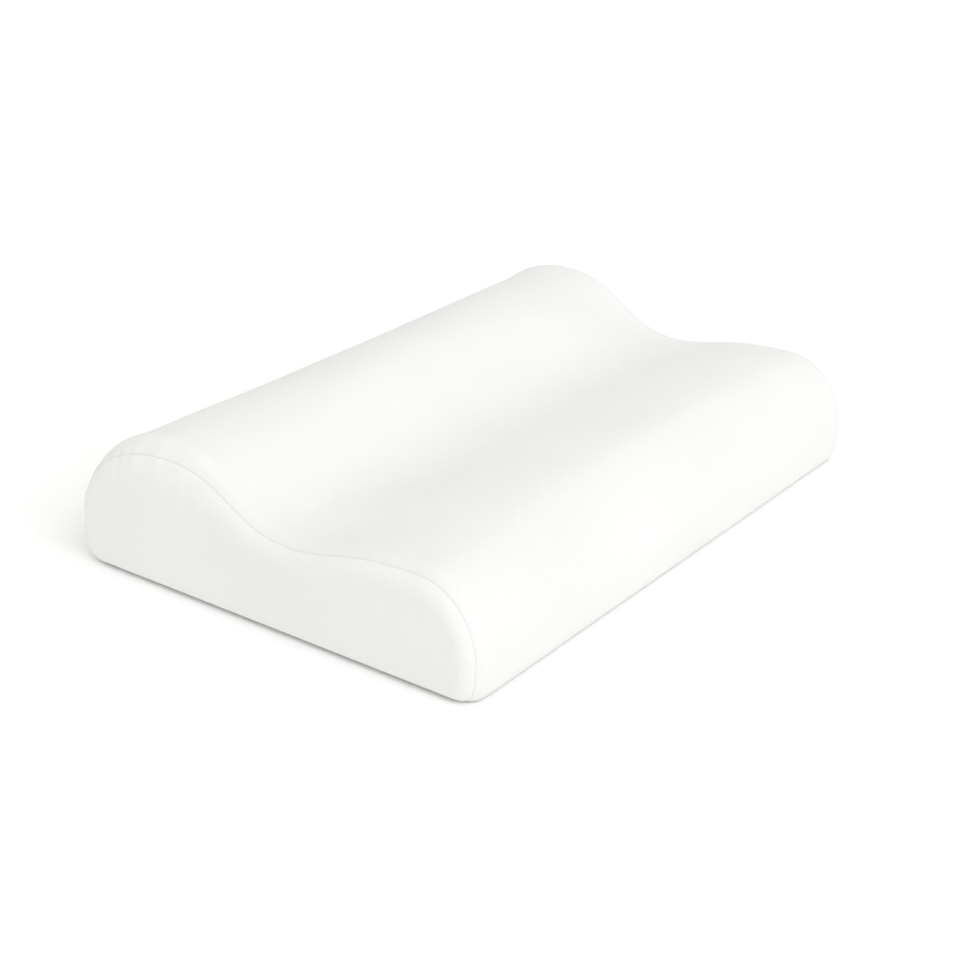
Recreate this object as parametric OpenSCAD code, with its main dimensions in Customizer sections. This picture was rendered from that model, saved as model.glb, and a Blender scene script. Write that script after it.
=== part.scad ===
// Contour neck pillow: a foam core with two lobes and a valley between them,
// in a sewn inner liner and a zipped outer cover.
// +X runs along the pillow, -Y is the low lobe at the front, +Y the high lobe at the back.
// The origin is the middle of the flat base, and the zip lies in the back wall.

/* [Pillow] */
// Length of the pillow, end face to end face
pillow_length = 615; // [585:10:705]
// Depth of the pillow, front to back
pillow_depth = 410; // [380:5:440]
// Height of the high lobe
high_lobe_height = 129; // [115:1:140]
// Height of the low lobe
low_lobe_height = 100; // [90:1:110]
// Height of the valley that the head lies in
valley_height = 84; // [70:1:88]

/* [Lobe places] */
// Distance of the high lobe's crest behind the middle
high_lobe_back = 106; // [90:1:120]
// Distance of the valley's lowest line in front of the middle
valley_front = 18; // [0:1:30]
// Distance of the low lobe's crest in front of the middle
low_lobe_front = 145; // [120:1:150]

/* [Edges] */
// Length of the rounding where the sides turn into the end faces
end_round = 22; // [16:1:26]
// Radius of the bottom edge at the back
back_corner = 18; // [12:1:20]
// Radius of the bottom edge at the front
front_corner = 8; // [5:1:12]

/* [Layers] */
// Thickness of the cover's knitted fabric
cover_thickness = 1.5; // [1:0.1:2]
// Thickness of the liner's fabric
liner_thickness = 0.8; // [0.5:0.1:1]
// Gap between two layers
layer_gap = 0.5; // [0.4:0.1:0.8]

/* [Zip] */
// Length of the closed zip chain
zip_length = 480; // [300:10:480]
// Height of the zip line above the base
zip_height = 34; // [33:1:36]
// Distance between two loops of one coil
coil_pitch = 2; // [1.6:0.2:4]
// Length of the pull tab from its pin to its tip
tab_length = 25; // [18:1:30]

/* [Label] */
// Width of the care label
label_width = 32; // [20:1:34]
// Length of the care label's folded flap
label_drop = 26; // [15:1:28]

/* [Hidden] */

half_length = pillow_length / 2;
back_y = pillow_depth / 2;
front_shoulder = 33;      // height where the front wall turns into the low lobe
back_shoulder = 50;       // height where the back wall turns into the high lobe
// How far each line of the section draws in at the end faces
high_draw = 48;
valley_draw = 27;
low_draw = 24;
front_draw = 19;
back_draw = 9;
base_draw = 5.5;

// Height of the point on an end face from which its whole outline can be seen
hub_height = 40;

// Points on each stretch of the section
lobe_steps = 9;
corner_steps = 4;
// Half of the rounding's angle belongs to the end panels, the rest to the wrapping panels
seam_angle = 45;
round_steps = 4;

liner_layer = cover_thickness + layer_gap;
foam_layer = liner_layer + liner_thickness + 0.4;

// Distances along Y from the outer face of the back wall, all at the zip
tape_face = cover_thickness;
tape_thickness = 0.6;
tape_edge = 1.9;
tape_width = 12;
coil_inner = 0.1;
coil_height = 2.7;
loop_reach = 0.6;
wing_gap = 0.3;
wing_thickness = 1;
liner_back_y = back_y - tape_face - tape_thickness - wing_gap - wing_thickness - 0.8;
slot_half = 6;
slot_margin = 9;
tape_tail = 15;

// The slider is at the closed end, at the left of the chain
slider_length = 10;
slider_x = -zip_length / 2 + slider_length / 2;
coil_start = slider_x - 1;
loop_width = 0.4 * coil_pitch;
upper_wing_y = back_y - coil_inner + wing_gap;
lower_wing_y = back_y - tape_face - tape_thickness - wing_gap - wing_thickness;
pin_y = upper_wing_y + wing_thickness + 1.6;
pin_radius = 0.7;
pin_clearance = 0.1;

cover_white = [0.95, 0.95, 0.94];
liner_white = [0.90, 0.90, 0.88];
foam_cream = [0.93, 0.89, 0.78];
tape_white = [0.92, 0.92, 0.91];
metal_grey = [0.72, 0.73, 0.75];

// ---- Section ----

// Cubic curve through a and d with the handles b and c, without its last point
function curve(a, b, c, d, steps) =
    [for (i = [0:steps - 1])
        let (t = i / steps, s = 1 - t)
        s * s * s * a + 3 * s * s * t * b + 3 * s * t * t * c + t * t * t * d];

// One line's inset: the layer's own depth, plus its share of the draw at the end face
function inset(layer, draw, share) = layer + (draw - layer) * share;

// Closed section in Y and Z, from the zip line over the lobes and back under the base
function section(layer, share, limit_y) =
    let (back = min(limit_y, back_y - inset(layer, back_draw, share)),
         front = inset(layer, front_draw, share) - back_y,
         base = inset(layer, base_draw, share),
         high = high_lobe_height - inset(layer, high_draw, share),
         valley = valley_height - inset(layer, valley_draw, share),
         low = low_lobe_height - inset(layer, low_draw, share),
         crest = high_lobe_back,
         dip = -valley_front,
         brow = -low_lobe_front)
    concat(
        [[back, zip_height]],
        curve([back, back_shoulder],
              [back, back_shoulder + 0.5 * (high - back_shoulder)],
              [crest + 0.56 * (back - crest), high],
              [crest, high], lobe_steps),
        curve([crest, high],
              [crest - 0.47 * (crest - dip), high],
              [dip + 0.46 * (crest - dip), valley],
              [dip, valley], lobe_steps),
        curve([dip, valley],
              [dip - 0.34 * (dip - brow), valley],
              [brow + 0.61 * (dip - brow), low],
              [brow, low], lobe_steps),
        curve([brow, low],
              [brow + 0.55 * (front - brow), low],
              [front, front_shoulder + 0.55 * (low - front_shoulder)],
              [front, front_shoulder], lobe_steps),
        curve([front, front_shoulder],
              [front, base + 2 * front_corner],
              [front, base + 0.45 * front_corner],
              [front + front_corner, base], corner_steps),
        [[front + front_corner, base]],
        curve([back - back_corner, base],
              [back - 0.45 * back_corner, base],
              [back, base + 0.45 * back_corner],
              [back, base + back_corner], corner_steps),
        [[back, base + back_corner]]);

// Number of points on the section, and the point where the front seam runs
section_size = len(section(0, 0, back_y));
front_seam = 1 + 4 * lobe_steps + corner_steps;

// One ring of a layer, at an angle of the end rounding, on the side -1 or +1
function ring(layer, angle, side, limit_y) =
    let (x = side * (half_length - end_round + (end_round - layer) * sin(angle)))
    [for (p = section(layer, 1 - cos(angle), limit_y)) [x, p.x, p.y]];

// The rings between two angles, from the left end's to the right end's
function wrap_rings(layer, angle, limit_y) =
    concat([for (i = [0:round_steps]) ring(layer, angle * (1 - i / round_steps), -1, limit_y)],
           [for (i = [0:round_steps]) ring(layer, angle * i / round_steps, 1, limit_y)]);

// The rings of the left end, from the seam to the end face
function end_rings(layer, limit_y) =
    [for (i = [0:round_steps])
        ring(layer, seam_angle + (90 - seam_angle) * i / round_steps, -1, limit_y)];

// Points first..last of each ring
function part_of(rings, first, last) =
    [for (r = rings) [for (j = [first:last]) r[j % section_size]]];

function flat(lists) = [for (l = lists) for (v = l) v];

// Two triangles between four corners, turned over if wanted
function quad(a, b, c, d, turned) =
    turned ? [[a, b, c], [a, c, d]] : [[a, c, b], [a, d, c]];

// Triangles of a skin of rings, starting at the point number start
function skin(ring_count, size, start, closed, turned) =
    [for (r = [0:ring_count - 2]) for (j = [0:size - (closed ? 1 : 2)])
        let (k = (j + 1) % size, a = start + r * size, b = a + size)
        each quad(a + j, a + k, b + k, b + j, turned)];

// Triangles between one ring of the outer skin and the same ring of the inner skin
function rim(size, outer_start, inner_start, closed, turned) =
    [for (j = [0:size - (closed ? 1 : 2)])
        let (k = (j + 1) % size)
        each quad(outer_start + j, outer_start + k, inner_start + k, inner_start + j, turned)];

// Flat end of a ring, as triangles that meet at the point number hub
function fan(size, start, hub, turned) =
    [for (j = [0:size - 1])
        let (a = start + j, b = start + (j + 1) % size)
        turned ? [hub, b, a] : [hub, a, b]];

// Point inside a ring from which the whole ring can be seen
function hub_point(ring) = [ring[0].x, 0, hub_height];

// Solid closed by its first and last rings, which are flat
module loft(rings) {
    count = len(rings);
    size = len(rings[0]);
    polyhedron(points = concat(flat(rings), [hub_point(rings[0]), hub_point(rings[count - 1])]),
               faces = concat(skin(count, size, 0, true, false),
                              fan(size, 0, count * size, false),
                              fan(size, (count - 1) * size, count * size + 1, true)),
               convexity = 6);
}

// Wrapping panel between an outer and an inner skin, either a tube or an open strip
module wrap_panel(outer, inner, closed) {
    count = len(outer);
    size = len(outer[0]);
    start = count * size;
    last = (count - 1) * size;
    edges = closed ? [] : [for (r = [0:count - 2])
        let (a = r * size, b = a + size)
        each concat(quad(a, b, start + b, start + a, false),
                    quad(a + size - 1, b + size - 1, start + b + size - 1, start + a + size - 1, true))];
    polyhedron(points = concat(flat(outer), flat(inner)),
               faces = concat(skin(count, size, 0, closed, false),
                              skin(count, size, start, closed, true),
                              rim(size, 0, start, closed, true),
                              rim(size, last, start + last, closed, false),
                              edges),
               convexity = 10);
}

// Dished end panel: its skins run from the seam to the flat end face
module end_panel(outer, inner) {
    count = len(outer);
    size = len(outer[0]);
    start = count * size;
    last = (count - 1) * size;
    polyhedron(points = concat(flat(outer), flat(inner),
                               [hub_point(outer[count - 1]), hub_point(inner[count - 1])]),
               faces = concat(skin(count, size, 0, true, true),
                              skin(count, size, start, true, false),
                              rim(size, 0, start, true, false),
                              fan(size, last, 2 * start, false),
                              fan(size, start + last, 2 * start + 1, true)),
               convexity = 10);
}

// ---- Core and liner ----

module foam_core() {
    color(foam_cream)
        loft(wrap_rings(foam_layer, 90, liner_back_y - liner_thickness - 0.4));
}

module liner_wrap() {
    color(liner_white)
        wrap_panel(wrap_rings(liner_layer, seam_angle, liner_back_y),
                   wrap_rings(liner_layer + liner_thickness, seam_angle, liner_back_y - liner_thickness),
                   true);
}

module liner_left_end() {
    color(liner_white)
        end_panel(end_rings(liner_layer, liner_back_y),
                  end_rings(liner_layer + liner_thickness, liner_back_y - liner_thickness));
}

module liner_right_end() {
    mirror([1, 0, 0]) liner_left_end();
}

// ---- Cover ----

// Half of the opening that the zip fills, above or below the zip line
module zip_slot(side) {
    low_z = side > 0 ? zip_height : zip_height - slot_half;
    translate([-zip_length / 2 - slot_margin, back_y - 2 * cover_thickness, low_z])
        cube([zip_length + 2 * slot_margin, 3 * cover_thickness, slot_half]);
}

// Strip of the cover between two points of the section
module cover_strip(first, last) {
    wrap_panel(part_of(wrap_rings(0, seam_angle, back_y), first, last),
               part_of(wrap_rings(cover_thickness, seam_angle, back_y - cover_thickness), first, last),
               false);
}

module cover_top_panel() {
    color(cover_white) difference() {
        cover_strip(0, front_seam);
        zip_slot(1);
    }
}

module cover_base_panel() {
    color(cover_white) difference() {
        cover_strip(front_seam, section_size);
        zip_slot(-1);
    }
}

module cover_left_end_panel() {
    color(cover_white)
        end_panel(end_rings(0, back_y),
                  end_rings(cover_thickness, back_y - cover_thickness));
}

module cover_right_end_panel() {
    mirror([1, 0, 0]) cover_left_end_panel();
}

// ---- Zip ----

// Outline in X and Z made into a plate from y upwards
module plate_y(y, thickness) {
    translate([0, y + thickness, 0]) rotate([90, 0, 0]) linear_extrude(thickness) children();
}

// One tape, above the zip line for side 1 and below it for side -1
module zip_tape(side) {
    plate_y(back_y - tape_face - tape_thickness, tape_thickness)
        translate([-zip_length / 2 - tape_tail,
                   side > 0 ? zip_height + tape_edge : zip_height - tape_edge - tape_width])
            square([zip_length + 2 * tape_tail, tape_width]);
}

// One coil: a flat spine on the tape with loops that reach between the other coil's loops
module zip_coil(side, offset_x) {
    loops = floor((zip_length / 2 - coil_start - coil_pitch) / coil_pitch);
    spine = 1.3;
    outline = concat(
        [[coil_start, coil_height], [coil_start, spine]],
        [for (i = [0:loops - 1])
            let (x = coil_start + offset_x + i * coil_pitch)
            each [[x, spine], [x, -loop_reach], [x + loop_width, -loop_reach], [x + loop_width, spine]]],
        [[zip_length / 2, spine], [zip_length / 2, coil_height]]);
    plate_y(back_y - tape_face, tape_face - coil_inner)
        translate([0, zip_height]) scale([1, side]) polygon(outline);
}

module zip_tape_upper() {
    color(tape_white) zip_tape(1);
}

module zip_tape_lower() {
    color(tape_white) zip_tape(-1);
}

module zip_coil_upper() {
    color(tape_white) zip_coil(1, 0.2);
}

module zip_coil_lower() {
    color(tape_white) zip_coil(-1, 0.2 + coil_pitch / 2);
}

// Small clamp round the inner edges of the tapes
module tape_clamp(x, length, low_z, high_z) {
    difference() {
        plate_y(back_y - tape_face - tape_thickness - wing_gap, 2)
            translate([x, zip_height + low_z]) square([length, high_z - low_z]);
        zip_tape(1);
        zip_tape(-1);
    }
}

module zip_top_stops() {
    stop_x = slider_x - slider_length / 2 - 3;
    color(metal_grey) {
        tape_clamp(stop_x, 2.5, 1.4, 3.6);
        tape_clamp(stop_x, 2.5, -3.6, -1.4);
    }
}

module zip_bottom_stop() {
    color(metal_grey) tape_clamp(zip_length / 2 + 0.2, 3.5, -3, 3);
}

// Outline of a slider wing: wide at its mouth, narrower at its tail
module wing_outline() {
    hull() {
        translate([-3.2, 2.4]) circle(r = 1.8, $fn = 32);
        translate([-3.2, -2.4]) circle(r = 1.8, $fn = 32);
        translate([3.8, 2.6]) circle(r = 1.2, $fn = 32);
        translate([3.8, -2.6]) circle(r = 1.2, $fn = 32);
    }
}

module zip_slider() {
    color(metal_grey) difference() {
        translate([slider_x, 0, zip_height]) {
            plate_y(upper_wing_y, wing_thickness) wing_outline();
            plate_y(lower_wing_y, wing_thickness) wing_outline();
            // Wedge that parts the two coils
            plate_y(lower_wing_y, upper_wing_y - lower_wing_y + wing_thickness)
                polygon([[-4.4, 0], [-3.2, 1.4], [-1.4, 0.6], [-1.4, -0.6], [-3.2, -1.4]]);
            // Side walls that guide the coils
            for (side = [-1, 1])
                plate_y(back_y - tape_face + wing_gap, upper_wing_y - back_y + tape_face - wing_gap)
                    translate([-0.3, side * 3.4 - 0.35]) square([4.6, 0.7]);
            // Crown that holds the pull tab's pin
            translate([0, 0, -0.8]) linear_extrude(1.6) {
                translate([-1.6, upper_wing_y + wing_thickness]) square([3.2, pin_y - upper_wing_y - wing_thickness]);
                translate([0, pin_y]) circle(r = 1.6, $fn = 40);
            }
        }
        translate([slider_x, pin_y, zip_height - 5])
            cylinder(r = pin_radius + pin_clearance, h = 10, $fn = 40);
    }
}

module zip_pull_tab() {
    arm_inner = 1.1;
    tab_thickness = 1.2;
    color(metal_grey) translate([slider_x, 0, zip_height]) {
        plate_y(pin_y - tab_thickness / 2, tab_thickness) difference() {
            hull() {
                translate([1, -2.3]) square([1, 4.6]);
                translate([7, -3.5]) square([1, 7]);
                translate([tab_length - 3.5, 0]) circle(r = 3.5, $fn = 48);
            }
            translate([-1, -arm_inner]) square([6, 2 * arm_inner]);
            translate([tab_length - 4, 0]) circle(r = 1.8, $fn = 40);
        }
        // Eyes at the ends of the two arms, and the pin between them
        for (z = [-2.3, arm_inner])
            translate([0, 0, z]) linear_extrude(1.2) {
                translate([0, pin_y]) circle(r = 1.2, $fn = 40);
                translate([0, pin_y - tab_thickness / 2]) square([2, tab_thickness]);
            }
        translate([0, pin_y, -2]) cylinder(r = pin_radius, h = 4, $fn = 40);
    }
}

// ---- Label ----

module care_label() {
    color(tape_white)
        translate([zip_length / 2 + tape_tail + 0.5, back_y, zip_height - label_drop])
            cube([label_width - 2, 0.5, label_drop]);
}

foam_core();
liner_wrap();
liner_left_end();
liner_right_end();
cover_top_panel();
cover_base_panel();
cover_left_end_panel();
cover_right_end_panel();
zip_tape_upper();
zip_tape_lower();
zip_coil_upper();
zip_coil_lower();
zip_top_stops();
zip_bottom_stop();
zip_slider();
zip_pull_tab();
care_label();
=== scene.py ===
"""Looks for a contour neck pillow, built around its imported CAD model.

The cover, liner and core are grids of rings: a ring is the pillow's section at one place along X,
and the grid runs from the middle of the left end face to the middle of the right one. A cloth
simulation on a coarse copy of that grid gives the fabric its crown, and the seams are pressed into
the fine grid afterwards. Lengths are in metres.
"""
import math

import bmesh
import bpy
import numpy as np
from mathutils import Matrix, Vector
from mathutils.kdtree import KDTree


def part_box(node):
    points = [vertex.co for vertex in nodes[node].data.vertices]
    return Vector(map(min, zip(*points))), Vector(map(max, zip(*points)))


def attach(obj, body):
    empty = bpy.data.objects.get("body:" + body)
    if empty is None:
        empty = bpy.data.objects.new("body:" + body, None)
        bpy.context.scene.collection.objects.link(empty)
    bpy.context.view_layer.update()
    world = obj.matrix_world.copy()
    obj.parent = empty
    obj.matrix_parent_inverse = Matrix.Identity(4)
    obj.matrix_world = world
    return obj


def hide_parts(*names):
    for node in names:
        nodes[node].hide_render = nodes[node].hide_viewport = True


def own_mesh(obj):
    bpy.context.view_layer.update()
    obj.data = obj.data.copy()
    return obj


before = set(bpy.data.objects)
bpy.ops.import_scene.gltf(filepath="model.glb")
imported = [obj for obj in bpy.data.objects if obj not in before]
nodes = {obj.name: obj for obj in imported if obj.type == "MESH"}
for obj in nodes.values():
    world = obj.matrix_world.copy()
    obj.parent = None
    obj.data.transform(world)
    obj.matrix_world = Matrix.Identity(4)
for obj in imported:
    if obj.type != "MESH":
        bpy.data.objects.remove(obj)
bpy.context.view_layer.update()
MM = 0.001

# ---- Sizes that the CAD boxes give ----

HALF_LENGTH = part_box("cover_right_end_panel")[1].x
BACK_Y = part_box("cover_top_panel")[1].y
HIGH_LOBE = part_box("cover_top_panel")[1].z
ZIP_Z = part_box("cover_base_panel")[1].z
TAPE_LOW, TAPE_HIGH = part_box("zip_tape_upper")
COIL_LOW, COIL_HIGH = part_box("zip_coil_upper")
LABEL_LOW, LABEL_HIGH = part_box("care_label")
LINER_BACK_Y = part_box("liner_wrap")[1].y

# ---- Sizes of the section, as in the CAD model ----

VALLEY, LOW_LOBE = 84 * MM, 100 * MM
CREST_Y, DIP_Y, BROW_Y = 106 * MM, -18 * MM, -145 * MM
FRONT_SHOULDER, BACK_SHOULDER = 33 * MM, 50 * MM
END_ROUND = 22 * MM
FRONT_CORNER, BACK_CORNER = 8 * MM, 18 * MM
HIGH_DRAW, VALLEY_DRAW, LOW_DRAW = 48 * MM, 27 * MM, 24 * MM
FRONT_DRAW, BACK_DRAW, BASE_DRAW = 19 * MM, 9 * MM, 5.5 * MM
HUB = np.array([0.0, 40 * MM])
COVER_THICKNESS = 1.5 * MM
SLOT_HALF = 6 * MM
SLOT_END = -TAPE_LOW.x - 6 * MM
SEAM_ANGLE = math.radians(45)
CORNER_PLACE = 115 * MM      # on the section, where it turns from the back wall to the high lobe
STITCH_INSET = 2.5 * MM      # from the zip's slot to the stitches beside it
START_LAYER = 3 * MM         # how much smaller the cover starts in the cloth simulation
CROWN_CAP = 6 * MM           # how far the simulation may move a point
VOXEL = 6 * MM               # size of the simulation's mesh
CLOTH_FRAMES = 20
CLOTH_PRESSURE = 4
SWELLING_REMOVED = 0.75      # share of the mean swelling that is taken off again

# ---- Sizes of the zip ----

COIL_PITCH = 2 * MM
WIRE_RADIUS = 0.31 * MM
STITCHING_RADIUS = 0.13 * MM
TOPSTITCH_RADIUS = 0.21 * MM
TOPSTITCH_LENGTH, TOPSTITCH_GAP = 2.6 * MM, 0.6 * MM
METAL_ROUNDING = 0.16 * MM
WIDE_FACE = 0.8 * MM ** 2    # from this area on, a face of a metal part is flat, not part of a curve

# ---- Camera and light ----

CAMERA_LENS = 73.9
CAMERA_SHIFT = -0.0127, -0.0372
CAMERA_FROM = -55.7, 23.5, 2.1    # azimuth, elevation and roll in degrees
CAMERA_DISTANCE = 1.805
CAMERA_TARGET = 0, 0, 0.05
KEY_FROM = -19, 41                # azimuth and elevation in degrees
KEY_SPREAD, KEY_STRENGTH = 50, 1.1
SKY_STRENGTH = 0.85
FLOOR_SIZE = 60
FLOOR_DROP = 0.3 * MM             # keeps the floor clear of the pillow's underside


# ---- Camera, light and floor ----

def look_from(azimuth, elevation, roll):
    """Rotation of a camera that looks from this direction, its back direction along local Z."""
    a, e, r = (math.radians(v) for v in (azimuth, elevation, roll))
    back = Vector((math.sin(a) * math.cos(e), -math.cos(a) * math.cos(e), math.sin(e)))
    right = Vector((0, 0, 1)).cross(back).normalized()
    up = back.cross(right)
    turned_right = right * math.cos(r) + up * math.sin(r)
    turned_up = up * math.cos(r) - right * math.sin(r)
    return Matrix((turned_right, turned_up, back)).transposed(), back


def make_camera():
    data = bpy.data.cameras.new("camera")
    data.sensor_width = 36
    data.lens = CAMERA_LENS
    data.shift_x, data.shift_y = CAMERA_SHIFT
    data.clip_end = 50
    camera = bpy.data.objects.new("camera", data)
    turn, back = look_from(*CAMERA_FROM)
    place = Vector(CAMERA_TARGET) + back * CAMERA_DISTANCE
    camera.matrix_world = Matrix.Translation(place) @ turn.to_4x4()
    bpy.context.scene.collection.objects.link(camera)
    bpy.context.scene.camera = camera


def soft_key(azimuth, elevation, spread, strength):
    """One wide soft light from this direction, the same all over the floor."""
    data = bpy.data.lights.new("key", "SUN")
    data.angle = math.radians(spread)
    data.energy = strength
    light = bpy.data.objects.new("key", data)
    light.matrix_world = look_from(azimuth, elevation, 0)[0].to_4x4()
    bpy.context.scene.collection.objects.link(light)


def make_studio():
    world = bpy.data.worlds.new("studio")
    world.use_nodes = True
    shade = world.node_tree.nodes["Background"]
    shade.inputs["Color"].default_value = (1.0, 1.0, 0.99, 1)
    shade.inputs["Strength"].default_value = SKY_STRENGTH
    bpy.context.scene.world = world
    soft_key(*KEY_FROM, KEY_SPREAD, KEY_STRENGTH)
    scene = bpy.context.scene
    scene.view_settings.view_transform = "Standard"
    scene.view_settings.look = "None"
    bpy.ops.mesh.primitive_grid_add(x_subdivisions=40, y_subdivisions=40, size=FLOOR_SIZE,
                                    location=(0, 0, -FLOOR_DROP))
    floor = bpy.context.object
    floor.name = "floor"
    floor.data.materials.append(floor_material())


# ---- Materials ----

class Shader:
    """A material's node tree, with short calls for the nodes that the materials below share."""

    def __init__(self, name):
        self.material = bpy.data.materials.new(name)
        self.material.use_nodes = True
        self.tree = self.material.node_tree
        self.bsdf = self.tree.nodes["Principled BSDF"]

    def add(self, kind, **values):
        node = self.tree.nodes.new(kind)
        for key, value in values.items():
            if hasattr(node, key):
                setattr(node, key, value)
            else:
                node.inputs[key.replace("_", " ")].default_value = value
        return node

    def link(self, source, target):
        self.tree.links.new(source, target)

    def coordinates(self, attribute=None):
        if attribute:
            return self.add("ShaderNodeAttribute", attribute_name=attribute).outputs["Vector"]
        return self.add("ShaderNodeTexCoord").outputs["Object"]

    def noise(self, vector, scale, detail=3.0):
        node = self.add("ShaderNodeTexNoise", Scale=scale, Detail=detail)
        self.link(vector, node.inputs["Vector"])
        return node.outputs["Fac"]

    def maths(self, operation, a, b):
        node = self.add("ShaderNodeMath", operation=operation)
        for socket, value in zip(node.inputs, (a, b)):
            if isinstance(value, (int, float)):
                socket.default_value = value
            else:
                self.link(value, socket)
        return node.outputs[0]

    def ramp(self, value, low, high, from_value=0.0, to_value=1.0):
        node = self.add("ShaderNodeMapRange")
        self.link(value, node.inputs["Value"])
        numbers = {"From Min": from_value, "From Max": to_value, "To Min": low, "To Max": high}
        for key, number in numbers.items():
            node.inputs[key].default_value = number
        return node.outputs["Result"]

    def mix(self, factor, first, second):
        node = self.add("ShaderNodeMix", data_type="RGBA")
        if isinstance(factor, (int, float)):
            node.inputs[0].default_value = factor
        else:
            self.link(factor, node.inputs[0])
        for index, value in ((6, first), (7, second)):
            if isinstance(value, tuple):
                node.inputs[index].default_value = (*value, 1)
            else:
                self.link(value, node.inputs[index])
        return node.outputs[2]

    def bump(self, height, strength, distance):
        node = self.add("ShaderNodeBump", Strength=strength, Distance=distance)
        self.link(height, node.inputs["Height"])
        self.link(node.outputs["Normal"], self.bsdf.inputs["Normal"])

    def set(self, **values):
        for key, value in values.items():
            self.bsdf.inputs[key.replace("_", " ")].default_value = value


def floor_material():
    s = Shader("pale_floor")
    place = s.coordinates()
    grain = s.noise(place, 30.0)
    s.link(s.mix(grain, (0.955, 0.955, 0.955), (0.975, 0.975, 0.972)), s.bsdf.inputs["Base Color"])
    s.set(Roughness=0.9, Specular_IOR_Level=0.1)
    return s.material


def knit_material(name, colour, shade, pitch, depth, sheen):
    """Fine knit: wales and courses from the cloth coordinates, with a short soft pile."""
    s = Shader(name)
    cloth = s.coordinates("cloth")
    split = s.add("ShaderNodeSeparateXYZ")
    s.link(cloth, split.inputs[0])
    across = s.maths("MULTIPLY", split.outputs["X"], 2 * math.pi / pitch)
    along = s.maths("MULTIPLY", split.outputs["Y"], 2 * math.pi / (pitch * 0.8))
    wales = s.maths("SINE", across, 0.0)
    slow = s.maths("SINE", s.maths("MULTIPLY", across, 0.5), 0.0)
    half_step = s.maths("MULTIPLY", s.maths("ABSOLUTE", slow, 0.0), 1.6)
    courses = s.maths("SINE", s.maths("ADD", along, half_step), 0.0)
    weave = s.maths("ADD", s.maths("MULTIPLY", wales, 0.5), s.maths("MULTIPLY", courses, 0.5))
    pile = s.noise(s.coordinates(), 1600.0, 2.0)
    height = s.maths("ADD", weave, s.maths("MULTIPLY", pile, 1.4))
    s.bump(height, 0.5, depth)
    blotch = s.ramp(s.noise(s.coordinates(), 9.0, 4.0), 0.0, 1.0, 0.3, 0.7)
    tone = s.mix(blotch, colour, shade)
    # Painted shade: where seams, stitches and creases press the cloth in (the seam attribute), the colour
    # turns towards a darker copy of it.
    seam = s.add("ShaderNodeAttribute", attribute_name="seam").outputs["Fac"]
    painted_shade_colour = tuple(c * 0.88 for c in shade)
    tone = s.mix(s.maths("MULTIPLY", seam, 0.2), tone, painted_shade_colour)
    # Painted shade in the knit's hollows: the low parts of the weave take up to 22 % of the darker colour.
    hollow_shade = s.ramp(weave, 0.22, 0.0, -0.9, 0.3)
    s.link(s.mix(hollow_shade, tone, painted_shade_colour), s.bsdf.inputs["Base Color"])
    s.link(s.ramp(pile, 0.82, 0.96), s.bsdf.inputs["Roughness"])
    s.set(Sheen_Weight=sheen, Sheen_Roughness=0.45, Specular_IOR_Level=0.2)
    return s.material


def foam_material():
    """Open-cell foam: round pores in a pale cream body."""
    s = Shader("memory_foam")
    place = s.coordinates()
    pores = s.add("ShaderNodeTexVoronoi", Scale=700.0)
    s.link(place, pores.inputs["Vector"])
    depth = s.ramp(pores.outputs["Distance"], 0.0, 1.0, 0.1, 0.5)
    s.bump(depth, 0.6, 0.4 * MM)
    tone = s.mix(s.noise(place, 12.0), (0.86, 0.79, 0.62), (0.90, 0.85, 0.71))
    # Painted shade: the middle of each pore, where the bump sinks deepest, is a darker brown.
    s.link(s.mix(depth, (0.74, 0.66, 0.49), tone), s.bsdf.inputs["Base Color"])
    s.set(Roughness=0.95, Specular_IOR_Level=0.15, Sheen_Weight=0.1)
    return s.material


def tape_material():
    """Woven tape: a fine herringbone across the zip."""
    s = Shader("zip_tape")
    place = s.coordinates()
    split = s.add("ShaderNodeSeparateXYZ")
    s.link(place, split.inputs[0])
    zigzag = s.maths("PINGPONG", split.outputs["Z"], 1.2 * MM)
    slant = s.maths("ADD", split.outputs["X"], zigzag)
    ribs = s.maths("SINE", s.maths("MULTIPLY", slant, 2 * math.pi / (0.7 * MM)), 0.0)
    fuzz = s.noise(place, 2400.0)
    s.bump(s.maths("ADD", ribs, fuzz), 0.6, 0.12 * MM)
    # Painted shade: the rib troughs are darker than the crests.
    tone = s.mix(s.ramp(ribs, 0.0, 0.5, -1.0, 1.0), (0.74, 0.74, 0.73), (0.88, 0.88, 0.87))
    s.link(tone, s.bsdf.inputs["Base Color"])
    s.link(s.ramp(fuzz, 0.6, 0.85), s.bsdf.inputs["Roughness"])
    s.set(Sheen_Weight=0.15)
    return s.material


def nylon_material():
    s = Shader("zip_coil")
    place = s.coordinates()
    s.link(s.mix(s.noise(place, 300.0), (0.84, 0.84, 0.82), (0.90, 0.90, 0.89)), s.bsdf.inputs["Base Color"])
    s.link(s.ramp(s.noise(place, 900.0), 0.22, 0.42), s.bsdf.inputs["Roughness"])
    s.set(Subsurface_Weight=0.15, Subsurface_Radius=(0.001, 0.001, 0.001), Coat_Weight=0.2)
    return s.material


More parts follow.
